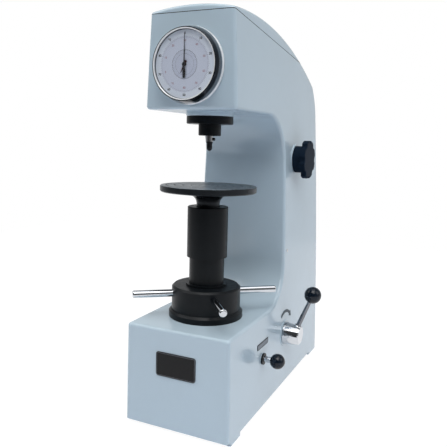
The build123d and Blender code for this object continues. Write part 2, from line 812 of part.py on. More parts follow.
def make_indenter():
    """Cone indenter with its shank."""
    cone_base = indenter_tip_z + indenter_cone_height
    outline = [
        Line((0, indenter_tip_z), (indenter_point_radius, indenter_tip_z)),
        SagittaArc((indenter_point_radius, indenter_tip_z), (indenter_radius, cone_base),
                   -indenter_nose_bulge),
        Polyline((indenter_radius, cone_base),
                 (indenter_radius, holder_bottom_z - indenter_collar_height),
                 (indenter_collar_radius, holder_bottom_z - indenter_collar_height),
                 (indenter_collar_radius, holder_bottom_z),
                 (indenter_shank_radius, holder_bottom_z),
                 (indenter_shank_radius, holder_bottom_z + indenter_shank_length),
                 (0, holder_bottom_z + indenter_shank_length), (0, indenter_tip_z)),
    ]
    section = Plane(origin=(0, axis_y, 0), x_dir=(1, 0, 0), z_dir=(0, -1, 0)) * make_face(outline)
    return revolve(section, Axis((0, axis_y, 0), (0, 0, 1)), 360)


def make_set_screw():
    """Knurled screw that clamps the indenter's shank."""
    start = indenter_shank_radius + run_gap
    shank = cross_disc(set_screw_radius, start, holder_radius - start + 2 * seat_gap, axis_y, set_screw_z)
    return shank + cross_disc(set_screw_head_radius, holder_radius + seat_gap, set_screw_head_length,
                              axis_y, set_screw_z)


def make_spindle_arm():
    """Arm on the spindle that carries its travel to the gauge."""
    z = spindle_bush_top_z + 2 * seat_gap
    arm = disc(spindle_arm_hub_radius, z, spindle_arm_height)
    arm += block(-spindle_arm_half_width, spindle_arm_half_width, axis_y - spindle_arm_reach, axis_y,
                 z, z + spindle_arm_height)
    return arm - disc(spindle_neck_radius + run_gap, z - 1, 2 * spindle_arm_height)


# ---------------------------------------------------------------- dial gauge
rim_bore_radius = gauge_case_rim_radius + 2 * run_gap
rim_bore_reach = gauge_case_reach + seat_gap
lens_reach = bezel_reach - bezel_lip - lens_thickness
gauge_back = -gauge_case_depth


def make_gauge_case():
    """Cup through the head's front wall, with a rim that the bezel turns on."""
    case = gauge_disc(gauge_case_radius, gauge_back, gauge_case_depth)
    case += gauge_disc(gauge_case_rim_radius, 0, gauge_case_reach)
    inner = gauge_case_radius - gauge_case_wall
    case -= gauge_disc(inner, gauge_back + gauge_case_wall, gauge_case_depth + gauge_case_reach)
    boss = gauge_disc(arbor_bush_radius, gauge_back + gauge_case_wall, arbor_bush_length)
    return case + boss - gauge_disc(arbor_radius + run_gap, gauge_back - 1, 2 * gauge_case_depth)


def make_movement():
    """Gearbox behind the case, with the plunger bore."""
    half = gauge_movement_half
    back_y = head_y + gauge_case_depth
    gearbox = block(-half, half, back_y, back_y + gauge_movement_depth, gauge_z - half, gauge_z + half)
    gearbox -= gauge_disc(arbor_radius + run_gap, gauge_back - gauge_movement_depth - 1,
                          gauge_movement_depth + 2)
    bore = disc(gauge_plunger_radius + run_gap, gauge_z - 2 * half,
                gauge_plunger_top_z + gauge_plunger_room - gauge_z + 2 * half,
                y=back_y + gauge_movement_depth / 2)
    return gearbox - bore


def make_plunger():
    """Plunger that the spindle arm lifts."""
    z = spindle_bush_top_z + 2 * seat_gap + spindle_arm_height
    y = head_y + gauge_case_depth + gauge_movement_depth / 2
    return disc(gauge_plunger_radius, z, gauge_plunger_top_z - z, y=y)


def make_bezel():
    """Chromed ring that turns on the case's rim and holds dial and lens."""
    cone_start = bezel_standoff + bezel_band
    ring = gauge_disc(bezel_radius, bezel_standoff, bezel_band)
    base = Plane(origin=(0, head_y - cone_start, gauge_z), x_dir=(1, 0, 0), z_dir=(0, -1, 0))
    ring += base * Cone(bezel_radius, bezel_front_radius, bezel_reach - cone_start,
                        align=(Align.CENTER, Align.CENTER, Align.MIN))
    ring = fillet(ring.edges().group_by(Axis.Y)[0], bezel_round)
    ring -= gauge_disc(rim_bore_radius, 0, rim_bore_reach)
    ring -= gauge_disc(bezel_bore_radius, 0, bezel_reach - bezel_lip)
    ring -= gauge_disc(bezel_lip_radius, 0, bezel_reach + 1)
    return chamfer(ring.edges().group_by(Axis.Y)[0].sort_by(SortBy.LENGTH)[0], bezel_lip_chamfer)


def make_spacer():
    """Ring in the bezel that the dial rests on."""
    outer = bezel_bore_radius - run_gap
    spacer = gauge_disc(outer, rim_bore_reach, dial_back_reach - rim_bore_reach)
    return spacer - gauge_disc(outer - dial_spacer_wall, 0, bezel_reach)


def make_dial():
    """Dial disc, clamped in the bezel."""
    dial = gauge_disc(bezel_bore_radius - run_gap, dial_back_reach, dial_thickness)
    return dial - gauge_disc(arbor_radius + dial_hole_gap, 0, bezel_reach)


def make_lens():
    """Flat window behind the bezel's lip."""
    return gauge_disc(bezel_bore_radius - run_gap, lens_reach, lens_thickness)


def pointer_plane(reach, angle_deg):
    """Plane ahead of the dial: local y points along the pointer."""
    turn = radians(angle_deg)
    return Plane(origin=(0, head_y - reach, gauge_z), x_dir=(cos(turn), 0, -sin(turn)), z_dir=(0, -1, 0))


long_pointer_reach = dial_back_reach + dial_thickness + pointer_standoff
short_pointer_reach = dial_back_reach + dial_thickness + short_pointer_standoff


def make_long_pointer():
    """Slender pointer with a broad tail."""
    tip, root = pointer_tip_half_width, pointer_root_half_width
    blade = make_face(Polyline(
        (-tip, pointer_length), (tip, pointer_length), (root, 0), (-root, 0), close=True))
    tail = make_face(Polyline(
        (-root, 0), (root, 0), (pointer_tail_half_width, -pointer_tail_shoulder),
        (pointer_tail_end_half_width, -pointer_tail), (-pointer_tail_end_half_width, -pointer_tail),
        (-pointer_tail_half_width, -pointer_tail_shoulder), close=True))
    plane = pointer_plane(long_pointer_reach, 0)
    pointer = extrude(plane * blade, pointer_thickness) + extrude(plane * tail, pointer_thickness)
    pointer += gauge_disc(pointer_hub_radius, long_pointer_reach, pointer_thickness)
    return pointer - gauge_disc(arbor_radius, 0, bezel_reach)


def make_short_pointer():
    """Turn counter's pointer, on a tube around the arbor."""
    plane = pointer_plane(short_pointer_reach, 180 + short_pointer_angle_deg)
    tip, root = short_pointer_tip_half_width, short_pointer_root_half_width
    blade = make_face(Polyline(
        (-tip, short_pointer_length), (tip, short_pointer_length), (root, 0), (-root, 0), close=True))
    pointer = extrude(plane * blade, pointer_thickness)
    pointer += extrude(plane * Pos(0, -short_pointer_tail) * Circle(short_pointer_tail_radius),
                       pointer_thickness)
    pointer += gauge_disc(short_pointer_hub_radius, short_pointer_reach, pointer_thickness)
    return pointer - gauge_disc(arbor_radius + run_gap, 0, bezel_reach)


def make_arbor():
    """Arbor from the gearbox to the long pointer, with its cap."""
    start = gauge_back - gauge_movement_depth + 1
    arbor = gauge_disc(arbor_radius - run_gap, start, long_pointer_reach + pointer_thickness - start)
    cap = gauge_disc(arbor_cap_radius, long_pointer_reach + pointer_thickness, arbor_cap_height)
    return arbor + cap


# ---------------------------------------------------------------- load lever
def make_lever_hub():
    """Chromed hub with the slanted seat that the lever is screwed into."""
    section = Plane(origin=(0, lever_y, lever_z), x_dir=(1, 0, 0), z_dir=(0, -1, 0)) * make_face(Polyline(
        (lever_seat_x, 0), (lever_seat_x + hub_length, 0),
        (lever_seat_x + hub_length, hub_end_radius - hub_end_edge),
        (lever_seat_x + hub_length - hub_end_edge, hub_end_radius),
        (lever_seat_x + hub_root_edge, hub_root_radius),
        (lever_seat_x, hub_root_radius - hub_root_edge), close=True))
    hub = revolve(section, Axis((0, lever_y, lever_z), (1, 0, 0)), 360)
    seat = lever_plane(lever_seat_reach)
    hub -= seat * Box(lever_seat_width, 3 * hub_root_radius, hub_root_radius,
                      align=(Align.CENTER, Align.CENTER, Align.MIN))
    hub -= seat * Cylinder(lever_foot_radius + run_gap, 2 * (lever_foot_depth + 1))
    return hub - cross_disc(lever_shaft_radius + run_gap, 0, lever_seat_x + hub_shaft_depth + 1,
                            lever_y, lever_z)


def lever_plane(reach):
    """Plane square to the lever at a reach from the shaft axis: local z runs along the lever."""
    splay = radians(lever_splay_deg)
    direction = Vector(sin(splay), 0, cos(splay))
    foot_x = lever_root_x - lever_root_height * tan(splay)
    origin = Vector(foot_x, lever_y, lever_z) + direction * reach
    return Plane(origin=origin, x_dir=(cos(splay), 0, -sin(splay)), z_dir=direction)


def make_lever_rod():
    """Tapered lever rod with its threaded foot."""
    start = lever_seat_reach + lever_collar_height
    length = lever_ball_reach - lever_ball_seat - start
    rod = lever_plane(start) * Cone(lever_root_radius, lever_tip_radius, length,
                                    align=(Align.CENTER, Align.CENTER, Align.MIN))
    foot = lever_plane(lever_seat_reach - lever_foot_depth) * Cylinder(
        lever_foot_radius, lever_collar_height + lever_foot_depth,
        align=(Align.CENTER, Align.CENTER, Align.MIN))
    return rod + foot


def make_lever_collar():
    """Lock nut at the lever's foot."""
    seat = lever_plane(lever_seat_reach)
    collar = Cylinder(lever_collar_radius, lever_collar_height, align=(Align.CENTER, Align.CENTER, Align.MIN))
    collar = chamfer(collar.edges().group_by(Axis.Z)[-1], lever_collar_chamfer)
    bore = Cylinder(lever_foot_radius + run_gap, 4 * lever_collar_height)
    return seat * (collar - bore)


def make_lever_ball():
    """Ball knob with its socket."""
    ball = lever_plane(lever_ball_reach) * Sphere(lever_ball_radius)
    start = lever_seat_reach + lever_collar_height
    length = lever_ball_reach - lever_ball_seat - start
    socket = lever_plane(start) * Cone(lever_root_radius + run_gap, lever_tip_radius + run_gap,
                                       length + run_gap, align=(Align.CENTER, Align.CENTER, Align.MIN))
    return ball - socket


def lift_pin_place():
    """Y and Z of the lift roller's pin at rest."""
    raised = radians(lift_arm_raise_deg)
    return lever_y + lift_arm_reach * cos(raised), lever_z + lift_arm_reach * sin(raised)


def make_lever_shaft():
    """Shaft through the right wall, with the lift arm and its roller pin."""
    shaft = cross_disc(lever_shaft_radius, lever_shaft_inner_x,
                       lever_seat_x + hub_shaft_depth - lever_shaft_inner_x, lever_y, lever_z)
    pin_y, pin_z = lift_pin_place()
    arm_plane = Plane(origin=(lever_shaft_inner_x, lever_y, lever_z),
                      x_dir=(0, cos(radians(lift_arm_raise_deg)), sin(radians(lift_arm_raise_deg))),
                      z_dir=(1, 0, 0))
    arm = extrude(arm_plane * SlotCenterToCenter(lift_arm_reach, 2 * lift_arm_half_height).moved(
        Location((lift_arm_reach / 2, 0))), lift_arm_thickness)
    pin_length = lift_arm_thickness + lift_roller_width + lift_pin_overhang
    pin = cross_disc(lift_pin_radius, lever_shaft_inner_x, pin_length, pin_y, pin_z)
    return shaft + arm + pin


def make_lift_roller():
    """Roller that carries the push rod."""
    pin_y, pin_z = lift_pin_place()
    start = lever_shaft_inner_x + lift_arm_thickness + run_gap
    roller = cross_disc(lift_roller_radius, start, lift_roller_width, pin_y, pin_z)
    return roller - cross_disc(lift_pin_radius + run_gap, start - 1, lift_roller_width + 2, pin_y, pin_z)


# ---------------------------------------------------------------- trigger and selector
def make_trigger():
    """Stem, ball, washer and inner stop of the trigger."""
    wall_x = right_wall_trigger - wall
    stop_x = wall_x - trigger_bearing_length - seat_gap - trigger_stop_width
    stem_end = trigger_ball_x - trigger_ball_seat
    stem = cross_disc(trigger_stem_radius, stop_x - 1, stem_end - stop_x + 1, trigger_y, trigger_z)
    ball = Pos(trigger_ball_x, trigger_y, trigger_z) * Sphere(trigger_ball_radius)
    ball -= cross_disc(trigger_stem_radius + run_gap, 0, stem_end + run_gap, trigger_y, trigger_z)
    washer = cross_disc(trigger_washer_radius, trigger_seat_x, trigger_washer_height, trigger_y, trigger_z)
    washer -= cross_disc(trigger_stem_radius + seat_gap, 0, through, trigger_y, trigger_z)
    stop = cross_disc(trigger_stop_radius, stop_x, trigger_stop_width, trigger_y, trigger_z)
    stop -= cross_disc(trigger_stem_radius + run_gap, 0, through, trigger_y, trigger_z)
    return stem, ball, washer, stop


def make_selector():
    """Fixed collar, lobed knob and inner shaft of the load selector."""
    collar = cross_disc(selector_collar_radius, selector_seat_x, selector_collar_length, selector_y, selector_z)
    collar = chamfer(collar.edges().group_by(Axis.X)[-1], selector_collar_edge)
    bore = cross_disc(selector_shaft_radius + run_gap, 0, through, selector_y, selector_z)
    knob_x = selector_seat_x + selector_collar_length + seat_gap
    face = Plane(origin=(knob_x, selector_y, selector_z), x_dir=(0, 1, 0), z_dir=(1, 0, 0))
    outline = Circle(selector_knob_radius)
    for index in range(selector_lobes):
        turn = 2 * pi * index / selector_lobes
        outline -= Pos(selector_notch_centre * cos(turn), selector_notch_centre * sin(turn)) * Circle(
            selector_notch_radius)
    knob = extrude(face * outline, selector_knob_thickness)
    knob = chamfer(knob.faces().sort_by(Axis.X)[-1].edges(), selector_knob_edge)
    knob -= cross_disc(selector_shaft_radius + run_gap, 0, knob_x + selector_knob_thickness - selector_knob_web,
                       selector_y, selector_z)
    shaft = cross_disc(selector_shaft_radius, selector_shaft_inner_x,
                       knob_x + selector_knob_thickness - selector_knob_web - run_gap
                       - selector_shaft_inner_x,
                       selector_y, selector_z)
    cam = cross_disc(selector_cam_radius, selector_shaft_inner_x, selector_cam_width,
                     selector_y, selector_z + selector_cam_offset)
    cam -= cross_disc(selector_shaft_radius + run_gap, 0, through, selector_y, selector_z)
    return collar - bore, knob, shaft, cam


# ---------------------------------------------------------------- plates
def make_name_plate():
    """Plain rounded plate on the base's front face."""
    face = Plane(origin=(0, front_y, name_plate_z), x_dir=(1, 0, 0), z_dir=(0, -1, 0))
    return extrude(face * RectangleRounded(name_plate_width, name_plate_height, name_plate_corner),
                   name_plate_thickness)


def make_label_plate():
    """Plain narrow plate above the trigger."""
    face = side_plane(axis_y + label_plate_offset, label_plate_z, run_gap)
    return extrude(face * RectangleRounded(label_plate_width, label_plate_height, label_plate_corner),
                   label_plate_thickness)


def make_arrow():
    """Curved arrow above the hub that shows which way the lever turns."""
    face = side_plane(lever_y, lever_z, 2 * run_gap)
    inner = arrow_radius - arrow_width / 2
    outer = arrow_radius + arrow_width / 2
    start = radians(arrow_start_deg)
    end = radians(arrow_end_deg)

    def at(radius, turn):
        return (radius * cos(turn), radius * sin(turn))

    middle = (start + end) / 2
    tip = end - radians(arrow_head_deg)
    band = [
        ThreePointArc(at(inner, start), at(inner, middle), at(inner, end)),
        Polyline(at(inner, end), at(arrow_radius - arrow_head_half, end), at(arrow_radius, tip),
                 at(arrow_radius + arrow_head_half, end), at(outer, end)),
        ThreePointArc(at(outer, end), at(outer, middle), at(outer, start)),
        Line(at(outer, start), at(inner, start)),
    ]
    return extrude(face * make_face(band), arrow_thickness)


def make_side_screw():
    """Small screw on the column's right side."""
    hole = side_plane(axis_y + side_screw_offset, side_screw_z, -wall / 2)
    return hole * Cylinder(side_screw_radius, wall / 2 + side_screw_height,
                           align=(Align.CENTER, Align.CENTER, Align.MIN))


# ---------------------------------------------------------------- load train
beam_pin_z = beam_bottom_z + beam_pin_height
hanger_pin_z = beam_bottom_z + beam_hanger_pin_height
fulcrum_y = axis_y + fulcrum_offset
hanger_y = axis_y + hanger_offset


def make_fulcrum():
    """Two ears on the head's floor and the pin that the beam turns on."""
    floor_z = head_bottom_z + wall
    ear_x = beam_half_width + seat_gap
    ears = []
    for side in (-1, 1):
        x0, x1 = sorted((side * ear_x, side * (ear_x + fulcrum_ear)))
        ear = block(x0, x1, fulcrum_y - fulcrum_ear_half_depth, fulcrum_y + fulcrum_ear_half_depth,
                    floor_z, beam_pin_z + fulcrum_ear_half_depth)
        bore = cross_disc(fulcrum_pin_radius + run_gap, -through / 2, through, fulcrum_y, beam_pin_z)
        ears.append(ear - bore)
    pin_half = ear_x + fulcrum_ear
    pin = cross_disc(fulcrum_pin_radius, -pin_half, 2 * pin_half, fulcrum_y, beam_pin_z)
    return Compound(children=ears), pin


def make_beam():
    """Main lever, tapered towards the weights, with its hanger pin."""
    nose_y = fulcrum_y - beam_nose
    tail_y = hanger_y + beam_tail
    outline = Polyline(
        (nose_y, beam_bottom_z), (tail_y, beam_bottom_z), (tail_y, beam_bottom_z + beam_rear_height),
        (fulcrum_y + beam_full_length, beam_bottom_z + beam_front_height),
        (nose_y, beam_bottom_z + beam_front_height), close=True)
    beam = extrude(Plane.YZ * make_face(outline), beam_half_width, both=True)
    beam = fillet(beam.edges().filter_by(Axis.X), beam_corner)
    beam -= cross_disc(fulcrum_pin_radius + run_gap, -through / 2, through, fulcrum_y, beam_pin_z)
    beam -= cross_disc(hanger_pin_radius + run_gap, -through / 2, through, hanger_y, hanger_pin_z)
    half = beam_half_width + seat_gap + hanger_strap
    pin = cross_disc(hanger_pin_radius, -half, 2 * half, hanger_y, hanger_pin_z)
    return beam, pin


def make_hanger():
    """Stirrup, rod and foot plate that carry the weights."""
    inner = beam_half_width + seat_gap
    outer = inner + hanger_strap
    bridge_z = hanger_pin_z - hanger_drop
    hanger = block(-outer, outer, hanger_y - hanger_strap_half_depth, hanger_y + hanger_strap_half_depth,
                   bridge_z - hanger_bridge, hanger_pin_z + hanger_strap_half_depth)
    hanger -= block(-inner, inner, hanger_y - spare, hanger_y + spare, bridge_z, hanger_pin_z + spare)
    hanger -= cross_disc(hanger_pin_radius + run_gap, -through / 2, through, hanger_y, hanger_pin_z)
    hanger += disc(hanger_rod_radius, hanger_bottom_z, bridge_z - hanger_bridge - hanger_bottom_z, y=hanger_y)
    return hanger + disc(hanger_plate_radius, hanger_bottom_z, hanger_plate_thickness, y=hanger_y)


def make_weights():
    """Stack of disc weights on the hanger's plate."""
    weights = []
    z = hanger_bottom_z + hanger_plate_thickness
    for height in weight_heights:
        weight = disc(weight_radius, z, height, y=hanger_y)
        weight = chamfer(weight.edges(), weight_edge)
        weights.append(weight - disc(hanger_rod_radius + run_gap, z - 1, height + 2, y=hanger_y))
        z += height
    return weights


def make_buffer():
    """Oil buffer on the shelf: cylinder and piston."""
    y = axis_y + buffer_offset
    cylinder = disc(buffer_radius, shelf_z, buffer_height, y=y)
    cylinder -= disc(buffer_radius - buffer_wall, shelf_z + buffer_wall, buffer_height, y=y)
    piston_z = shelf_z + piston_room
    piston = disc(buffer_radius - buffer_wall - run_gap, piston_z, piston_height, y=y)
    piston += disc(piston_rod_radius, piston_z, beam_bottom_z - seat_gap - piston_z, y=y)
    return cylinder, piston


def make_push_rod():
    """Rod between the lift roller and the beam."""
    y = axis_y + push_rod_offset
    pin_y, pin_z = lift_pin_place()
    bottom = pin_z + lift_roller_radius + seat_gap
    rod = disc(push_rod_radius, bottom, beam_bottom_z - seat_gap - bottom, y=y)
    return rod + disc(push_rod_foot_radius, bottom, push_rod_foot_height, y=y)


def build():
    """Make every sub-part and write it."""
    casting, cover, gasket = make_casting()
    save("machine_body", cut_casting(casting))
    save("top_cover", cover)
    save("cover_gasket", gasket)
    rear_cover, rear_screws = make_rear_cover()
    save("rear_cover", rear_cover)
    save("rear_cover_screws", rear_screws)
    guide, key = make_guide()
    save("screw_guide_bush", guide)
    save("screw_guide_key", key)
    save("elevating_screw", make_screw())
    save("test_table", make_table())
    save("protective_sleeve", make_outer_sleeve())
    save("lower_sleeve", make_inner_sleeve())
    save("handwheel_base_ring", make_base_ring())
    drum, rods = make_handwheel()
    save("handwheel_drum", drum)
    save("handwheel_rods", rods)
    flange, flange_screws = make_spindle_flange()
    save("spindle_flange", flange)
    save("spindle_flange_screws", flange_screws)
    save("spindle_bush", make_spindle_bush())
    save("spindle", make_spindle())
    save("spindle_arm", make_spindle_arm())
    save("indenter", make_indenter())
    save("indenter_set_screw", make_set_screw())
    save("gauge_case", make_gauge_case())
    save("gauge_movement", make_movement())
    save("gauge_plunger", make_plunger())
    save("gauge_bezel", make_bezel())
    save("gauge_dial_spacer", make_spacer())
    save("gauge_dial", make_dial())
    save("gauge_lens", make_lens())
    save("gauge_arbor", make_arbor())
    save("long_pointer", make_long_pointer())
    save("short_pointer", make_short_pointer())
    save("load_lever_hub", make_lever_hub())
    save("load_lever_rod", make_lever_rod())
    save("load_lever_nut", make_lever_collar())
    save("load_lever_ball", make_lever_ball())
    save("load_shaft", make_lever_shaft())
    save("lift_roller", make_lift_roller())
    stem, ball, washer, stop = make_trigger()
    save("trigger_stem", stem)
    save("trigger_ball", ball)
    save("trigger_washer", washer)
    save("trigger_stop", stop)
    collar, knob, shaft, cam = make_selector()
    save("selector_collar", collar)
    save("selector_knob", knob)
    save("selector_shaft", shaft)
    save("selector_cam", cam)
    save("name_plate", make_name_plate())
    save("trigger_label_plate", make_label_plate())
    save("lever_arrow_plate", make_arrow())
    save("column_side_screw", make_side_screw())
    ears, fulcrum_pin = make_fulcrum()
    save("fulcrum_ears", ears)
    save("fulcrum_pin", fulcrum_pin)
    beam, hanger_pin = make_beam()
    save("load_beam", beam)
    save("hanger_pin", hanger_pin)
    save("weight_hanger", make_hanger())
    for name, weight in zip(("weight_lower", "weight_middle", "weight_upper"), make_weights()):
        save(name, weight)
    cylinder, piston = make_buffer()
    save("buffer_cylinder", cylinder)
    save("buffer_piston", piston)
    save("push_rod", make_push_rod())


build()
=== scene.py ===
import json
from math import cos, pi, radians, sin

import bpy
from mathutils import Matrix, Vector


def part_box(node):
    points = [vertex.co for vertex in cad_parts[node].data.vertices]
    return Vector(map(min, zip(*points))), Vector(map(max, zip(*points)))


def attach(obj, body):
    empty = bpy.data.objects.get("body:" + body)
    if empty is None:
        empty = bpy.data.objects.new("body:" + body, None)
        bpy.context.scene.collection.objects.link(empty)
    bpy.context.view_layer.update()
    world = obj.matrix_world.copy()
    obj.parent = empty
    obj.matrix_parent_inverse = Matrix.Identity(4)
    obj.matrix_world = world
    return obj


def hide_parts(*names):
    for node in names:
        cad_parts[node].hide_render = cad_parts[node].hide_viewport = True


# Hardness tester: finishes, dial print, screw thread, studio and camera.
# Lengths are in metres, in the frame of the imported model. Colours are linear; linear() makes them from sRGB.

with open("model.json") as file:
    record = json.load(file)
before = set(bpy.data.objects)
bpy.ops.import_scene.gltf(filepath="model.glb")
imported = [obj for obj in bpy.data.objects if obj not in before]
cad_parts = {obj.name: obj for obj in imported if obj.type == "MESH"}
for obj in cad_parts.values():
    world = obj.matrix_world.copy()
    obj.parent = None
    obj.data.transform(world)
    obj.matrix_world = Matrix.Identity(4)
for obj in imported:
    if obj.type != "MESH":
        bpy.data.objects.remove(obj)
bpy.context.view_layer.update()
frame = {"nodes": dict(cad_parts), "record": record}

# ---------------------------------------------------------------- places worked out from the frame
DIAL_LOW, DIAL_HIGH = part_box("gauge_dial")
DIAL_CENTRE = (DIAL_LOW + DIAL_HIGH) / 2
DIAL_RADIUS = (DIAL_HIGH.x - DIAL_LOW.x) / 2
BEZEL_LOW, BEZEL_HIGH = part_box("gauge_bezel")
BEZEL_RADIUS = (BEZEL_HIGH.x - BEZEL_LOW.x) / 2
SCREW_LOW, SCREW_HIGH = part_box("elevating_screw")
SCREW_RADIUS = (SCREW_HIGH.x - SCREW_LOW.x) / 2
TABLE_LOW, TABLE_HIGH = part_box("test_table")
SCREW_AXIS = (TABLE_LOW + TABLE_HIGH) / 2


# ---------------------------------------------------------------- node helpers
def feed(tree, socket, value):
    """Link another node's output to a socket, or set the socket to a number, vector or colour."""
    if isinstance(value, bpy.types.NodeSocket):
        tree.links.new(value, socket)
    elif socket.type == "RGBA":
        socket.default_value = (*value, 1.0)
    else:
        socket.default_value = value


def set_inputs(tree, node, **values):
    """Feed a node's sockets by name, with _ for each space."""
    for name, value in values.items():
        feed(tree, node.inputs[name.replace("_", " ")], value)


def add_node(tree, kind, *values, operation=None, **named):
    """Node whose sockets are fed in their order or by name."""
    node = tree.nodes.new(kind)
    if operation is not None:
        node.operation = operation
    for socket, value in zip(node.inputs, values):
        feed(tree, socket, value)
    set_inputs(tree, node, **named)
    return node


def math_node(tree, operation, *values):
    """Result of a calculation with numbers or sockets."""
    return add_node(tree, "ShaderNodeMath", *values, operation=operation).outputs[0]


def ranged(tree, value, start, end, low, high):
    """Number that goes from low to high while a value goes from start to end."""
    node = add_node(tree, "ShaderNodeMapRange", Value=value, From_Min=start, From_Max=end,
                    To_Min=low, To_Max=high)
    return node.outputs["Result"]


def object_coordinates(tree):
    """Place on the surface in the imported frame, from one node in each material."""
    node = tree.nodes.get("place")
    if node is None:
        node = tree.nodes.new("ShaderNodeTexCoord")
        node.name = "place"
    return node.outputs["Object"]


def axes(tree, vector):
    """Outputs X, Y and Z of a vector."""
    return add_node(tree, "ShaderNodeSeparateXYZ", vector).outputs


def distance_from_axis(tree, point, across):
    """Distance from the axis through a point; across is 0 along the axis and 1 square to it."""
    shift = add_node(tree, "ShaderNodeVectorMath", object_coordinates(tree), point, operation="SUBTRACT")
    flat = add_node(tree, "ShaderNodeVectorMath", shift.outputs[0], across, operation="MULTIPLY")
    return add_node(tree, "ShaderNodeVectorMath", flat.outputs[0], operation="LENGTH").outputs["Value"]


NOISE_SPAN = (0.3, 0.7)      # most of a noise lies between these


def noise(tree, scale, detail=2.0):
    """Cloudy factor over the surface."""
    node = add_node(tree, "ShaderNodeTexNoise", object_coordinates(tree), Scale=scale, Detail=detail)
    return node.outputs["Fac"]


def uneven(tree, low, high, scale, detail=2.0):
    """Number that wanders over the surface."""
    return ranged(tree, noise(tree, scale, detail), *NOISE_SPAN, low, high)


MIX_FACTOR, MIX_FIRST, MIX_SECOND, MIX_RESULT = 0, 6, 7, 2     # sockets of a Mix node for colours


def blend_colours(tree, factor, first, second):
    """Colour between two by a factor."""
    node = tree.nodes.new("ShaderNodeMix")
    node.data_type = "RGBA"
    for index, value in ((MIX_FACTOR, factor), (MIX_FIRST, first), (MIX_SECOND, second)):
        feed(tree, node.inputs[index], value)
    return node.outputs[MIX_RESULT]


def mottled(tree, first, second, scale, detail=2.0):
    """Colour that wanders between two over the surface."""
    return blend_colours(tree, noise(tree, scale, detail), first, second)


def colour_ramp(tree, factor, stops):
    """Colour ramp with stops of (position, colour)."""
    ramp = add_node(tree, "ShaderNodeValToRGB", factor)
    elements = ramp.color_ramp.elements
    elements[0].position = stops[0][0]
    elements[1].position = stops[-1][0]
    for position, _ in stops[1:-1]:
        elements.new(position)
    for element, (_, colour) in zip(elements, stops):
        element.color = (*colour, 1.0)
    return ramp.outputs["Color"]


def bump(tree, height, strength, distance):
    """Bump node that raises the surface by a height."""
    return add_node(tree, "ShaderNodeBump", Height=height, Strength=strength, Distance=distance)


def mix_shaders(tree, factor, first, second):
    """Shader mixed from two by a factor."""
    return add_node(tree, "ShaderNodeMixShader", factor, first, second).outputs[0]


def linear(red, green, blue):
    """Linear colour from an sRGB colour of 0 to 255."""
    def channel(value):
        value /= 255
        return value / 12.92 if value <= 0.04045 else ((value + 0.055) / 1.055) ** 2.4
    return channel(red), channel(green), channel(blue)


def lighter(colour, gain, lift):
    """Lighter version of a dark colour."""
    return tuple(gain * channel + lift for channel in colour)


# ---------------------------------------------------------------- materials
def new_material(name):
    """Material with a Principled shader: (material, tree, shader)."""
    material = bpy.data.materials.new(name)
    material.use_nodes = True
    tree = material.node_tree
    return material, tree, tree.nodes["Principled BSDF"]


def enamel():
    """Glossy blue-grey enamel with a faint orange peel over long waves."""
    material, tree, shader = new_material("enamel_blue_grey")
    peel = bump(tree, noise(tree, scale=340.0, detail=1.0), strength=0.05, distance=0.0006)
    waves = bump(tree, noise(tree, scale=30.0, detail=1.0), strength=0.03, distance=0.003)
    set_inputs(tree, waves, Normal=peel.outputs["Normal"])
    set_inputs(tree, shader, Normal=waves.outputs["Normal"], IOR=1.5, Coat_Weight=0.25, Coat_Roughness=0.06,
               Base_Color=mottled(tree, linear(187, 206, 218), linear(191, 210, 222), scale=7.0, detail=3.0),
               Roughness=uneven(tree, 0.17, 0.24, scale=60.0))
    return material


def black_enamel():
    """Semi-gloss black paint on turned iron."""
    material, tree, shader = new_material("enamel_black")
    grain = bump(tree, noise(tree, scale=900.0), strength=0.06, distance=0.0004)
    set_inputs(tree, shader, Normal=grain.outputs["Normal"], Specular_IOR_Level=0.17,
               Base_Color=mottled(tree, linear(14, 18, 21), linear(21, 25, 29), scale=45.0, detail=4.0),
               Roughness=uneven(tree, 0.30, 0.40, scale=160.0, detail=3.0))
    return material


def chrome(name, dark, light):
    """Polished chrome with faint haze."""
    material, tree, shader = new_material(name)
    set_inputs(tree, shader, Metallic=1.0,
               Base_Color=mottled(tree, dark, light, scale=80.0, detail=3.0),
               Roughness=uneven(tree, 0.05, 0.12, scale=400.0, detail=3.0))
    return material


ACROSS_GAUGE = (1.0, 0.0, 1.0)      # square to the gauge's axis, which lies along Y
ACROSS_SCREW = (1.0, 1.0, 0.0)      # square to the screw's axis, which lies along Z


def bezel_chrome():
    """Chrome of the bezel, by share of its radius: a painted highlight on the lip, a painted dark then grey
    reflection on the cone, and a painted highlight on the rear edge.
    """
    material, tree, shader = new_material("chrome_bezel_painted_reflections")
    share = math_node(tree, "DIVIDE", distance_from_axis(tree, DIAL_CENTRE, ACROSS_GAUGE), BEZEL_RADIUS)
    # Painted reflections: the lip and the rear edge take a light colour as a painted highlight, and the cone
    # takes a dark then grey colour as a painted reflection.
    painted_highlight, dark, grey = (0.93, 0.94, 0.95), (0.02, 0.024, 0.03), (0.20, 0.21, 0.23)
    painted_reflection_bands = [(0.902, painted_highlight), (0.907, dark), (0.955, dark), (0.965, grey), (0.982, grey), (0.99, painted_highlight)]
    # The satin stops let the painted highlights on the lip and the rear edge show as near-diffuse light
    # colour.
    polish, satin = (1.0, 1.0, 1.0), (0.15, 0.15, 0.15)
    shine = [(0.902, satin), (0.907, polish), (0.985, polish), (0.992, satin)]
    set_inputs(tree, shader, Base_Color=colour_ramp(tree, share, painted_reflection_bands),
               Metallic=colour_ramp(tree, share, shine),
               Roughness=uneven(tree, 0.10, 0.18, scale=300.0, detail=3.0))
    return material


TURNING_MARKS = 2600.0       # radians of turning marks in a metre of height
TABLE_RINGS = 5200.0         # radians of turned rings in a metre of radius
TABLE_SKIN = 0.0004          # depth of the table's top that keeps the greyer finish


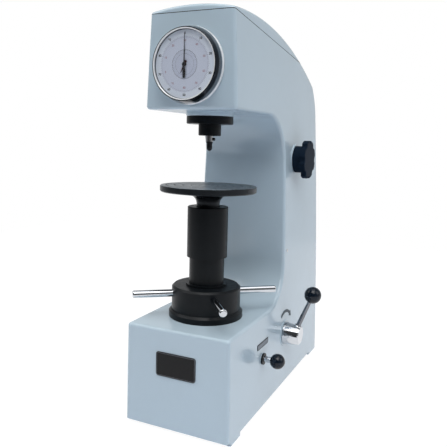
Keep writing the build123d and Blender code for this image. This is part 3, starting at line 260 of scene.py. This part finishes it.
def turned_metal(name, light, dark, roughness):
    """Machined metal with fine turning marks round Z and a little staining."""
    material, tree, shader = new_material(name)
    height = axes(tree, object_coordinates(tree))["Z"]
    marks = math_node(tree, "SINE", math_node(tree, "MULTIPLY", height, TURNING_MARKS))
    set_inputs(tree, shader, Normal=bump(tree, marks, strength=0.05, distance=0.0002).outputs["Normal"],
               Metallic=1.0, Base_Color=mottled(tree, dark, light, scale=40.0, detail=5.0),
               Roughness=uneven(tree, roughness - 0.06, roughness + 0.08, scale=120.0, detail=4.0))
    return material


def table_steel():
    """Blackened table with a greyer top and fine rings round the screw axis."""
    material, tree, shader = new_material("steel_table")
    reach = distance_from_axis(tree, SCREW_AXIS, ACROSS_SCREW)
    rings = math_node(tree, "SINE", math_node(tree, "MULTIPLY", reach, TABLE_RINGS))
    height = axes(tree, object_coordinates(tree))["Z"]
    is_top = math_node(tree, "GREATER_THAN", height, TABLE_HIGH.z - TABLE_SKIN)
    top = mottled(tree, linear(96, 104, 111), linear(118, 127, 134), scale=30.0, detail=5.0)
    set_inputs(tree, shader, Normal=bump(tree, rings, strength=0.08, distance=0.0002).outputs["Normal"],
               Metallic=0.75, Base_Color=blend_colours(tree, is_top, linear(42, 46, 50), top),
               Roughness=uneven(tree, 0.26, 0.38, scale=90.0, detail=4.0))
    return material


def bakelite(name, dark, light, ior, low, high):
    """Polished blue-black bakelite of a given gloss; its roughness wanders from low to high."""
    material, tree, shader = new_material(name)
    ripple = bump(tree, noise(tree, scale=260.0), strength=0.04, distance=0.0004)
    set_inputs(tree, shader, Normal=ripple.outputs["Normal"], IOR=ior,
               Base_Color=mottled(tree, dark, light, scale=90.0, detail=3.0),
               Roughness=uneven(tree, low, high, scale=200.0, detail=3.0))
    return material


def dial_paint():
    """Satin dial face by share of its radius: inner disc, field, pale rim zone, and a dark ring of painted
    shade at its edge.
    """
    material, tree, shader = new_material("dial_face")
    share = math_node(tree, "DIVIDE", distance_from_axis(tree, DIAL_CENTRE, ACROSS_GAUGE), DIAL_RADIUS)
    inner, field, rim = linear(182, 188, 203), linear(192, 198, 211), linear(206, 213, 222)
    # The edge colour is painted shade: a dark ring along the dial's rim, beside the bezel lip.
    edge = linear(60, 66, 74)
    stops = [(0.40, inner), (0.41, field), (0.76, field), (0.80, rim), (0.962, rim), (0.968, edge)]
    set_inputs(tree, shader, Base_Color=colour_ramp(tree, share, stops),
               Roughness=uneven(tree, 0.45, 0.55, scale=500.0))
    return material


def clear_glass():
    """Window glass that lets the lamps through to the dial."""
    material, tree, shader = new_material("glass_clear")
    set_inputs(tree, shader, Base_Color=(0.97, 0.98, 1.0), Roughness=0.0, IOR=1.2, Transmission_Weight=1.0)
    path = add_node(tree, "ShaderNodeLightPath").outputs
    passing = math_node(tree, "MAXIMUM", path["Is Shadow Ray"], path["Is Diffuse Ray"])
    clear = add_node(tree, "ShaderNodeBsdfTransparent").outputs[0]
    set_inputs(tree, tree.nodes["Material Output"],
               Surface=mix_shaders(tree, passing, shader.outputs[0], clear))
    return material


def flat_paint(name, colour, roughness=0.5):
    """Matt paint with a little variation, for pointers and print."""
    material, tree, shader = new_material(name)
    set_inputs(tree, shader, Base_Color=mottled(tree, colour, lighter(colour, 1.25, 0.004), scale=300.0),
               Roughness=roughness, Specular_IOR_Level=0.2)
    return material


def cast_iron():
    """Machined grey iron."""
    material, tree, shader = new_material("iron_machined")
    grain = bump(tree, noise(tree, scale=700.0, detail=3.0), strength=0.25, distance=0.0004)
    set_inputs(tree, shader, Normal=grain.outputs["Normal"], Metallic=0.8,
               Base_Color=mottled(tree, (0.11, 0.11, 0.115), (0.21, 0.21, 0.215), scale=120.0, detail=6.0),
               Roughness=uneven(tree, 0.45, 0.62, scale=200.0, detail=4.0))
    return material


def bordered_plate(name, node, across, face, line, inset, width, roughness):
    """Painted plate with a plain line round its edge; across is the axis of its long side."""
    material, tree, shader = new_material(name)
    place = axes(tree, object_coordinates(tree))
    low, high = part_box(node)
    middle, half = (low + high) / 2, (high - low) / 2
    margins = []
    for axis in (across, "Z"):
        index = "XYZ".index(axis)
        offset = math_node(tree, "ABSOLUTE", math_node(tree, "SUBTRACT", place[axis], middle[index]))
        margins.append(math_node(tree, "SUBTRACT", half[index], offset))
    margin = math_node(tree, "MINIMUM", *margins)
    past = math_node(tree, "GREATER_THAN", margin, inset)
    before = math_node(tree, "LESS_THAN", margin, inset + width)
    paint = mottled(tree, face, lighter(face, 1.35, 0.002), scale=220.0, detail=3.0)
    set_inputs(tree, shader, Roughness=roughness, Specular_IOR_Level=0.25,
               Base_Color=blend_colours(tree, math_node(tree, "MULTIPLY", past, before), paint, line))
    return material


SLOT_MATERIALS = {
    "casting_paint": enamel(),
    "chrome": chrome("chrome_polished", (0.56, 0.58, 0.61), (0.64, 0.66, 0.69)),
    "black_paint": black_enamel(),
    "blackened_steel": turned_metal("steel_blackened", linear(62, 64, 68), linear(40, 42, 46), 0.34),
    "black_knob": bakelite("bakelite_black", linear(9, 18, 29), linear(16, 29, 42), 1.38, 0.10, 0.18),
    "dial": dial_paint(),
    "clear_window": clear_glass(),
    "pointer_black": flat_paint("paint_pointer", linear(6, 7, 9)),
    "pointer_red": flat_paint("paint_pointer_small", linear(40, 20, 22)),
    "steel": turned_metal("steel_machined", (0.62, 0.62, 0.63), (0.48, 0.48, 0.49), 0.26),
    "bronze": turned_metal("bronze_machined", (0.62, 0.46, 0.25), (0.50, 0.36, 0.19), 0.32),
    "cast_iron": cast_iron(),
    "plate_black": flat_paint("plate_black", linear(24, 26, 30), 0.32),
    "gasket": flat_paint("gasket_rubber", linear(14, 16, 18), 0.8),
    "plate_grey": turned_metal("plate_grey", (0.33, 0.35, 0.38), (0.22, 0.24, 0.27), 0.38),
}
KNOB_BAKELITE = bakelite("bakelite_knob", linear(20, 31, 44), linear(28, 40, 54), 1.05, 0.16, 0.24)
NODE_MATERIALS = {
    "gauge_bezel": bezel_chrome(),
    "test_table": table_steel(),
    "gauge_arbor": SLOT_MATERIALS["pointer_black"],
    "trigger_washer": SLOT_MATERIALS["black_paint"],
    "selector_collar": KNOB_BAKELITE,
    "selector_knob": KNOB_BAKELITE,
    "load_lever_rod": chrome("chrome_rod", (0.16, 0.17, 0.19), (0.22, 0.23, 0.25)),
    "lever_arrow_plate": flat_paint("plate_arrow", linear(78, 88, 96)),
    "indenter_set_screw": turned_metal("steel_black_small", linear(46, 48, 52), linear(28, 30, 33), 0.30),
    "spindle": turned_metal("chrome_holder", (0.50, 0.51, 0.53), (0.40, 0.41, 0.43), 0.16),
    "name_plate": bordered_plate("plate_name", "name_plate", "X",
                                 face=linear(8, 8, 12), line=linear(120, 124, 128),
                                 inset=0.0012, width=0.0005, roughness=0.4),
    "trigger_label_plate": bordered_plate("plate_label", "trigger_label_plate", "Y",
                                          face=linear(112, 120, 128), line=linear(30, 33, 38),
                                          inset=0.0, width=0.0011, roughness=0.45),
}
INK = flat_paint("ink_black", linear(28, 31, 39))
PALE_INK = flat_paint("ink_grey", linear(112, 114, 130))
RED_INK = flat_paint("ink_red", linear(150, 124, 134))


def dress_nodes():
    """Give every CAD node its finish."""
    slots = {part["node"]: part["material_slot"] for part in frame["record"]["subparts"]}
    for name, node in frame["nodes"].items():
        finish = NODE_MATERIALS.get(name, SLOT_MATERIALS[slots[name]])
        node.data.materials.clear()
        node.data.materials.append(finish)


# ---------------------------------------------------------------- meshes
def mesh_piece(name, verts, faces, material, body, smooth=False):
    """Mesh object from vertices and faces, with its finish, riding on a body."""
    mesh = bpy.data.meshes.new(name)
    mesh.from_pydata(verts, [], faces)
    mesh.update()
    mesh.materials.append(material)
    if smooth:
        mesh.shade_smooth()
    piece = bpy.data.objects.new(name, mesh)
    bpy.context.scene.collection.objects.link(piece)
    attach(piece, body)
    return piece


# ---------------------------------------------------------------- print on the dial
PRINT_HEIGHT = 0.00006                 # print stands this far in front of the dial
SCALE_RING = 0.7504 * DIAL_RADIUS      # the scale's marks stand on it
COUNTER_RING = 0.4070 * DIAL_RADIUS    # the turn counter's marks hang from it
OUTER_NUMBERS = 0.8655 * DIAL_RADIUS
INNER_NUMBERS = 0.6620 * DIAL_RADIUS
NUMBER_SIZE = 0.0046
INNER_NUMBER_SIZE = 0.9 * NUMBER_SIZE
NUMBER_WEIGHT = 0.03                   # the figures are fattened by this share of their size
RED_NUMBER_LEAD = 30                   # the red series starts at this number
NUMBERS = 10

SCALE_MARKS, COUNTER_MARKS, RED_MARKS = 100, 50, 20
LONG_EVERY, BOLD_EVERY = 5, 10         # marks of the scales that are longer and bolder
SCALE_LONG, SCALE_SHORT = 0.0030, 0.00225
COUNTER_LONG, COUNTER_SHORT = 0.0026, 0.0014
RED_GAP, RED_LENGTH = 0.0002, 0.0010
BOLD_MARK, FINE_MARK = 0.00032, 0.0002
SCALE_LINE, COUNTER_LINE, CORE_LINE = 0.00014, 0.00030, 0.00018
CORE_RING = COUNTER_RING - 0.0052
RING_STEPS = 180


def dial_point(radius, clock):
    """Point of the print at a radius and a clockwise angle from the top."""
    x = DIAL_CENTRE.x + radius * sin(clock)
    z = DIAL_CENTRE.z + radius * cos(clock)
    return (x, DIAL_LOW.y - PRINT_HEIGHT, z)


def add_mark(verts, faces, clock, inner, outer, width):
    """One radial mark, as a quad."""
    start = len(verts)
    for radius in (inner, outer):
        half = width / 2 / radius
        verts.append(dial_point(radius, clock - half))
        verts.append(dial_point(radius, clock + half))
    faces.append((start, start + 2, start + 3, start + 1))


def add_ring(verts, faces, radius, width):
    """Thin printed circle."""
    start = len(verts)
    for step in range(RING_STEPS):
        clock = 2 * pi * step / RING_STEPS
        verts.append(dial_point(radius - width / 2, clock))
        verts.append(dial_point(radius + width / 2, clock))
    for step in range(RING_STEPS):
        a = start + 2 * step
        b = start + 2 * ((step + 1) % RING_STEPS)
        faces.append((a, a + 1, b + 1, b))


def make_scale():
    """Scale of a hundred parts on its circle."""
    verts, faces = [], []
    for index in range(SCALE_MARKS):
        clock = 2 * pi * index / SCALE_MARKS
        length = SCALE_LONG if index % LONG_EVERY == 0 else SCALE_SHORT
        width = BOLD_MARK if index % BOLD_EVERY == 0 else FINE_MARK
        add_mark(verts, faces, clock, SCALE_RING, SCALE_RING + length, width)
    add_ring(verts, faces, SCALE_RING, SCALE_LINE)
    mesh_piece("dial_scale", verts, faces, PALE_INK, "bezel_group")


def make_counter_scale():
    """Turn counter's marks and the two circles in the middle."""
    verts, faces = [], []
    for index in range(COUNTER_MARKS):
        clock = 2 * pi * index / COUNTER_MARKS
        length = COUNTER_LONG if index % LONG_EVERY == 0 else COUNTER_SHORT
        add_mark(verts, faces, clock, COUNTER_RING - length, COUNTER_RING, FINE_MARK)
    add_ring(verts, faces, COUNTER_RING, COUNTER_LINE)
    add_ring(verts, faces, CORE_RING, CORE_LINE)
    mesh_piece("dial_counter_scale", verts, faces, INK, "bezel_group")


def make_red_scale():
    """Red marks inside the scale's circle, halfway between its long marks."""
    verts, faces = [], []
    outer = SCALE_RING - RED_GAP
    for index in range(RED_MARKS):
        clock = 2 * pi * (index + 0.5) / RED_MARKS
        add_mark(verts, faces, clock, outer - RED_LENGTH, outer, FINE_MARK)
    mesh_piece("dial_red_scale", verts, faces, RED_INK, "bezel_group")


def make_number(text, radius, clock, size, material, slot):
    """One plain number on the dial, upright."""
    curve = bpy.data.curves.new("dial_number", "FONT")
    curve.body = text
    curve.size = size
    curve.align_x = "CENTER"
    curve.align_y = "CENTER"
    curve.offset = size * NUMBER_WEIGHT
    letters = bpy.data.objects.new("dial_number", curve)
    bpy.context.scene.collection.objects.link(letters)
    letters.matrix_world = Matrix.Translation(dial_point(radius, clock)) @ Matrix.Rotation(pi / 2, 4, "X")
    bpy.context.view_layer.update()
    mesh = bpy.data.meshes.new_from_object(letters)
    mesh.transform(letters.matrix_world)
    bpy.data.objects.remove(letters)
    mesh.materials.clear()
    mesh.materials.append(material)
    piece = bpy.data.objects.new(f"dial_number_{slot[-3:]}_{text}", mesh)
    bpy.context.scene.collection.objects.link(piece)
    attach(piece, "bezel_group")


def make_numbers():
    """Plain numbers: black outside the ring of marks, red inside it."""
    for index in range(NUMBERS):
        clock = 2 * pi * index / NUMBERS
        black = index * SCALE_MARKS // NUMBERS
        red = (black + RED_NUMBER_LEAD) % SCALE_MARKS
        make_number(str(black), OUTER_NUMBERS, clock, NUMBER_SIZE, INK, "pointer_black")
        make_number(str(red), INNER_NUMBERS, clock, INNER_NUMBER_SIZE, RED_INK, "pointer_red")


# ---------------------------------------------------------------- elevating screw
THREAD_PITCH = 0.006
THREAD_DEPTH = 0.0022
CREST_HALF = 0.12            # half the crest's width, as a share of the pitch
FLANK = 0.13                 # width of a flank, as a share of the pitch
CREST_CLEARANCE = 0.0001     # the crest stays this far inside the plain cylinder
PLAIN_END = 0.030            # length without a thread at the top
THREAD_RUNOUT = 0.002
SCREW_COLUMNS = 72
ROWS_PER_TURN = 16
SHARP_ANGLE = radians(35)


def clamped(share):
    """Share kept between 0 and 1."""
    return min(max(share, 0.0), 1.0)


def thread_radius(height, angle, span):
    """Radius of the screw at a height above its foot and an angle."""
    phase = (height / THREAD_PITCH - angle / (2 * pi)) % 1.0
    sunk = clamped((abs(phase - 0.5) - CREST_HALF) / FLANK)
    threaded = clamped((span - PLAIN_END - height) / THREAD_RUNOUT)
    return SCREW_RADIUS - CREST_CLEARANCE - THREAD_DEPTH * sunk * threaded


def make_thread():
    """Elevating screw with its trapezoidal thread, in place of the plain cylinder."""
    span = SCREW_HIGH.z - SCREW_LOW.z
    rows = int(span / THREAD_PITCH * ROWS_PER_TURN)
    verts, faces = [], []
    for row in range(rows + 1):
        height = span * row / rows
        for column in range(SCREW_COLUMNS):
            angle = 2 * pi * column / SCREW_COLUMNS
            radius = thread_radius(height, angle, span)
            verts.append((SCREW_AXIS.x + radius * cos(angle), SCREW_AXIS.y + radius * sin(angle),
                          SCREW_LOW.z + height))
    low_cap, high_cap = len(verts), len(verts) + 1
    verts.append((SCREW_AXIS.x, SCREW_AXIS.y, SCREW_LOW.z))
    verts.append((SCREW_AXIS.x, SCREW_AXIS.y, SCREW_HIGH.z))
    top = rows * SCREW_COLUMNS
    for column in range(SCREW_COLUMNS):
        after = (column + 1) % SCREW_COLUMNS
        for low in range(0, top, SCREW_COLUMNS):
            high = low + SCREW_COLUMNS
            faces.append((low + column, low + after, high + after, high + column))
        faces.append((low_cap, after, column))
        faces.append((high_cap, top + column, top + after))
    piece = mesh_piece("elevating_screw_thread", verts, faces, SLOT_MATERIALS["steel"],
                       "table_screw", smooth=True)
    piece.data.set_sharp_from_angle(angle=SHARP_ANGLE)
    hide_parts("elevating_screw")


# ---------------------------------------------------------------- studio
CAMERA_PLACE = Vector((0.38709, -0.91493, 0.44369))     # fitted to edges and circles in the photograph
CAMERA_AZIMUTH = radians(24.76)
CAMERA_PITCH = radians(8.41)
CAMERA_ROLL = radians(1.54)
SENSOR_MM = 36.0             # side of the square frame
FOCAL_LENGTH_MM = 44.23

LAMP_TARGET = Vector((0.0, 0.0, 0.3))
LAMPS = (                    # name, place, side in metres, watts
    ("top_lamp", (0.4, -0.55, 3.6), 2.9, 46.0),
    ("near_top_lamp", (0.15, -1.4, 2.7), 1.6, 20.0),
    ("key_lamp", (1.3, -1.9, 3.0), 1.9, 25.0),
    ("left_lamp", (-1.9, -1.0, 2.5), 1.9, 22.0),
    ("right_lamp", (3.2, 0.3, 2.4), 2.2, 22.0),
)

FLOOR_HALF = 1.6
FLOOR_GLOW = 1.12            # white that the camera and mirrors see mixed into the floor
FLOOR_WHITENING = 0.84       # share of that white

FILL_COLOUR = (0.97, 0.985, 1.0)
DIFFUSE_FILL = (0.0, 0.34)   # world strength in front of the machine and behind it
MIRROR_FILL = (0.05, 0.85)
ZENITH_SHARE = 0.2           # how much of the mirrored white is left overhead


def make_camera():
    """Camera at the photograph's viewing angle."""
    data = bpy.data.cameras.new("camera")
    data.sensor_fit = "HORIZONTAL"
    data.sensor_width = SENSOR_MM
    data.lens = FOCAL_LENGTH_MM
    camera = bpy.data.objects.new("camera", data)
    bpy.context.scene.collection.objects.link(camera)
    right = Vector((cos(CAMERA_AZIMUTH), sin(CAMERA_AZIMUTH), 0.0))
    forward = Vector((-sin(CAMERA_AZIMUTH) * cos(CAMERA_PITCH),
                      cos(CAMERA_AZIMUTH) * cos(CAMERA_PITCH), -sin(CAMERA_PITCH)))
    up = right.cross(forward)
    rolled_right = right * cos(CAMERA_ROLL) + up * sin(CAMERA_ROLL)
    rolled_up = up * cos(CAMERA_ROLL) - right * sin(CAMERA_ROLL)
    turn = Matrix((rolled_right, rolled_up, -forward)).transposed().to_4x4()
    camera.matrix_world = Matrix.Translation(CAMERA_PLACE) @ turn
    bpy.context.scene.camera = camera


def make_lamp(name, place, size, power):
    """Square area lamp aimed at the middle of the machine."""
    data = bpy.data.lights.new(name, "AREA")
    data.shape = "SQUARE"
    data.size = size
    data.energy = power
    lamp = bpy.data.objects.new(name, data)
    lamp.location = place
    lamp.rotation_euler = (LAMP_TARGET - Vector(place)).to_track_quat("-Z", "Y").to_euler()
    bpy.context.scene.collection.objects.link(lamp)


def background_rays(tree):
    """1 for the rays that see the white background: (camera or glass, mirror)."""
    path = add_node(tree, "ShaderNodeLightPath").outputs
    straight = math_node(tree, "MAXIMUM", path["Is Camera Ray"], path["Is Transmission Ray"])
    return straight, path["Is Glossy Ray"]


def make_floor():
    """Plain pale floor that keeps a faint shadow."""
    mesh = bpy.data.meshes.new("floor")
    corners = [(x * FLOOR_HALF, y * FLOOR_HALF, 0) for x, y in ((-1, -1), (1, -1), (1, 1), (-1, 1))]
    mesh.from_pydata(corners, [], [(0, 1, 2, 3)])
    floor = bpy.data.objects.new("floor", mesh)
    bpy.context.scene.collection.objects.link(floor)
    material, tree, shader = new_material("floor_pale")
    set_inputs(tree, shader, Roughness=0.9,
               Base_Color=mottled(tree, (0.84, 0.87, 0.95), (0.86, 0.89, 0.97), scale=3.0))
    glow = add_node(tree, "ShaderNodeEmission", Strength=FLOOR_GLOW).outputs[0]
    shown = math_node(tree, "MULTIPLY", math_node(tree, "MAXIMUM", *background_rays(tree)), FLOOR_WHITENING)
    set_inputs(tree, tree.nodes["Material Output"],
               Surface=mix_shaders(tree, shown, shader.outputs[0], glow))
    mesh.materials.append(material)


def background(tree, colour, strength):
    """World shader of a colour and strength."""
    return add_node(tree, "ShaderNodeBackground", Color=colour, Strength=strength).outputs[0]


def make_world():
    """White background; what lights and mirrors in the surfaces is brighter behind the machine."""
    world = bpy.data.worlds.new("studio")
    bpy.context.scene.world = world
    world.use_nodes = True
    tree = world.node_tree
    tree.nodes.clear()
    direction = axes(tree, add_node(tree, "ShaderNodeTexCoord").outputs["Generated"])
    diffuse = ranged(tree, direction["Y"], -1.0, 1.0, *DIFFUSE_FILL)
    mirror = math_node(tree, "MULTIPLY", ranged(tree, direction["Y"], -1.0, 1.0, *MIRROR_FILL),
                       ranged(tree, direction["Z"], 0.0, 1.0, 1.0, ZENITH_SHARE))
    straight, mirrored = background_rays(tree)
    lit = mix_shaders(tree, mirrored, background(tree, FILL_COLOUR, diffuse),
                      background(tree, FILL_COLOUR, mirror))
    white = background(tree, (1.0, 1.0, 1.0), 1.0)
    add_node(tree, "ShaderNodeOutputWorld", mix_shaders(tree, straight, lit, white))


def make_studio():
    """Camera, lamps, floor and world."""
    bpy.context.scene.view_settings.view_transform = "Standard"
    make_camera()
    make_floor()
    make_world()
    for lamp in LAMPS:
        make_lamp(*lamp)


dress_nodes()
make_scale()
make_counter_scale()
make_red_scale()
make_numbers()
make_thread()
make_studio()
